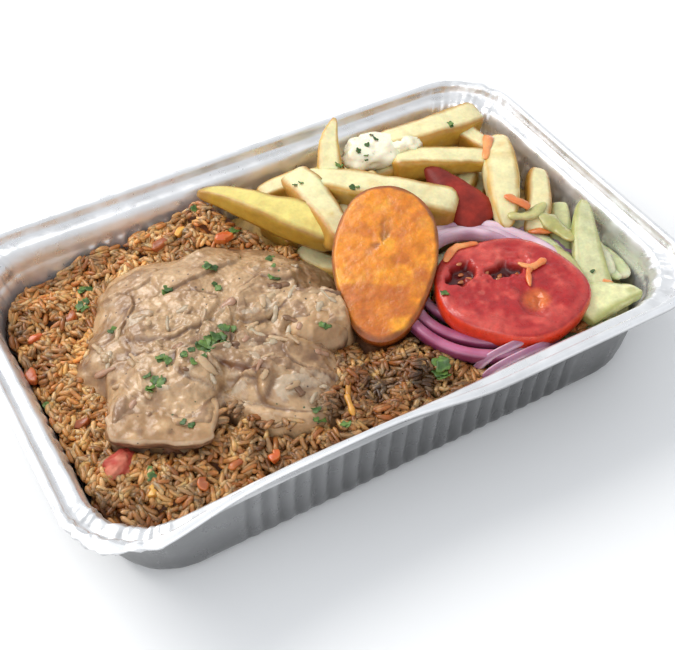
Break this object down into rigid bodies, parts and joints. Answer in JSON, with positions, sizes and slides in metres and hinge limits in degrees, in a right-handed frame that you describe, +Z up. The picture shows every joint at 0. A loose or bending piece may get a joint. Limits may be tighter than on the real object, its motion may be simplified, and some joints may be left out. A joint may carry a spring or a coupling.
{
  "type": "foil tray of pilau rice with beef",
  "caption": "Oblong aluminium foil tray filled with brown pilau rice, beef in cream sauce, a fried plantain slice, chips, and tomato, onion and cucumber salad.",
  "frame": {"origin": "middle of the tray's base, on the surface it stands on", "axes": "+X along the tray's long side, from the rice towards the salad; +Y towards the back, where the chips are; +Z up"},
  "size_m": [0.225, 0.144, 0.0544],
  "materials": {
    "foil": "bright crinkled foil",
    "rice": "oily brown grains",
    "sauce": "glossy beige cream",
    "beef": "moist brown meat under thin sauce",
    "plantain": "fried golden orange with a browned rim",
    "chip": "pale yellow with golden edges",
    "cream": "white cream with green streaks",
    "tomato": "wet red cut flesh",
    "onion": "translucent lilac",
    "cucumber": "pale green with white edges"
  },
  "bodies": {
    "root": {"foil_tray": "foil", "rice_heap": "rice", "cream_sauce": "sauce", "beef_slice_front": "beef", "beef_slice_middle": "beef", "beef_lump_right": "beef", "plantain_slice": "plantain", "chips_heap": "chip", "chip_wedge": "chip", "garlic_sauce": "cream", "red_tomato_wedge": "tomato", "tomato_slice": "tomato", "onion_ring_outer": "onion", "onion_ring_middle": "onion", "onion_ring_inner": "onion", "onion_ring_front": "onion", "salad_heap": "cucumber", "tomato_bit": "tomato"}
  },
  "joints": []
}
